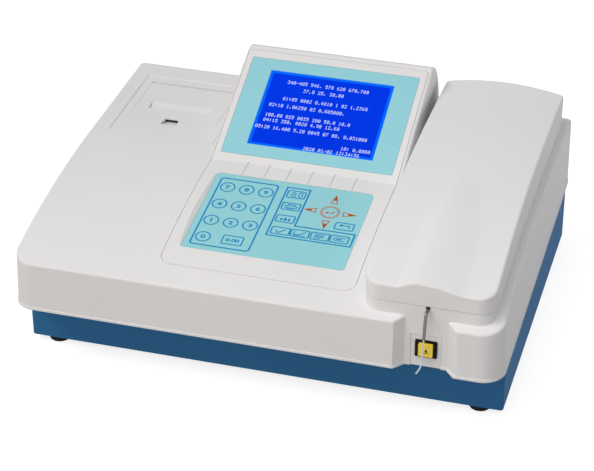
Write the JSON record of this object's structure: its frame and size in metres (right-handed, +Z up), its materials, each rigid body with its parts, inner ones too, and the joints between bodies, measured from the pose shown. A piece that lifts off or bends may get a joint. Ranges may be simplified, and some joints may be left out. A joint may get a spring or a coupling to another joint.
{
  "type": "semi-automatic chemistry analyzer",
  "caption": "Bench chemistry analyser with a tilted display, film keypad, slip printer, hinged optics lid and a front sample bay with a steel sampling tube.",
  "frame": {"origin": "on the table, under the middle of the instrument, feet at Z = 0", "axes": "+Z up, the front with the sample bay faces -Y, +X to the right seen from the front"},
  "size_m": [0.4484, 0.3672, 0.1877],
  "materials": {
    "white_abs": "fine moulded texture",
    "blue_paint": "satin powder coat",
    "teal_film": "semi-gloss printed film",
    "lcd": "smooth",
    "black_plastic": "satin",
    "yellow_plastic": "glossy",
    "black_rubber": "matt",
    "steel": "smooth drawn",
    "aluminium": "machined",
    "brass": "bare",
    "circuit_board": "solder resist",
    "glass": "clear",
    "clear_plastic": "translucent",
    "silicone": "translucent"
  },
  "bodies": {
    "case": {"base_tray": "blue_paint", "feet": "black_rubber", "case_screws": "steel", "top_case": "white_abs", "console_panel": "white_abs", "keypad_overlay": "teal_film", "display_overlay": "teal_film", "lcd_glass": "lcd", "lcd_module": "black_plastic", "lcd_board": "circuit_board", "lid_hinge_pins": "steel", "printer_frame": "white_abs", "printer_door_pin": "steel", "print_bracket": "steel", "print_head": "black_plastic", "switch_plate": "white_abs", "switch_body": "black_plastic", "aspiration_tube": "steel", "capillary": "clear_plastic", "optics_plate": "aluminium", "optics_posts": "aluminium", "cell_block": "aluminium", "detector_board": "circuit_board", "lamp_house": "aluminium", "lamp": "glass", "lens_tube": "black_plastic", "lens": "glass", "filter_motor": "steel", "pump_motor": "steel", "pump_head": "white_abs", "pump_tube": "silicone", "main_board": "circuit_board", "board_posts": "steel", "power_supply": "aluminium", "mains_inlet": "black_plastic", "inlet_pins": "brass", "rocker_frame": "black_plastic", "fan_frame": "black_plastic", "serial_port": "steel", "waste_outlet": "white_abs"},
    "lid": {"optics_lid": "white_abs"},
    "printer_flap": {"printer_door": "white_abs"},
    "platen": {"platen_roller": "black_rubber"},
    "button": {"aspirate_button": "yellow_plastic"},
    "filter_carrier": {"filter_wheel": "aluminium", "filters": "glass"},
    "pump_spinner": {"pump_rotor": "black_plastic"},
    "fuse_tray": {"fuse_drawer": "black_plastic"},
    "rocker": {"power_rocker": "black_plastic"},
    "impeller": {"fan_rotor": "black_plastic"}
  },
  "joints": [
    {"name": "lid_hinge", "type": "hinge", "parent": "case", "child": "lid", "pos_m": [0.1, 0.1686, 0.138], "axis": [-1, 0, 0], "range_deg": [0, 95]},
    {"name": "printer_door_hinge", "type": "hinge", "parent": "case", "child": "printer_flap", "pos_m": [-0.15, 0.1349, 0.1286], "axis": [-1, 0, 0], "range_deg": [0, 100]},
    {"name": "platen_spin", "type": "hinge", "parent": "case", "child": "platen", "pos_m": [-0.15, 0.0821, 0.1165], "axis": [1, 0, 0], "continuous": true},
    {"name": "button_press", "type": "slide", "parent": "case", "child": "button", "axis": [0, 1, 0], "range_m": [0, 0.0025], "stiffness_N_per_m": 400},
    {"name": "filter_wheel_turn", "type": "hinge", "parent": "case", "child": "filter_carrier", "pos_m": [0.16701, 0.028, 0.093], "axis": [0, 1, 0], "continuous": true},
    {"name": "pump_turn", "type": "hinge", "parent": "case", "child": "pump_spinner", "pos_m": [-0.16, -0.085, 0.055], "axis": [0, 0, 1], "continuous": true},
    {"name": "fuse_drawer_slide", "type": "slide", "parent": "case", "child": "fuse_tray", "axis": [0, 1, 0], "range_m": [0, 0.014]},
    {"name": "power_rocker_tip", "type": "hinge", "parent": "case", "child": "rocker", "pos_m": [-0.112, 0.1645, 0.038], "axis": [1, 0, 0], "range_deg": [0, 16]},
    {"name": "fan_spin", "type": "hinge", "parent": "case", "child": "impeller", "pos_m": [0.04, 0.16, 0.0365], "axis": [0, 1, 0], "continuous": true}
  ]
}
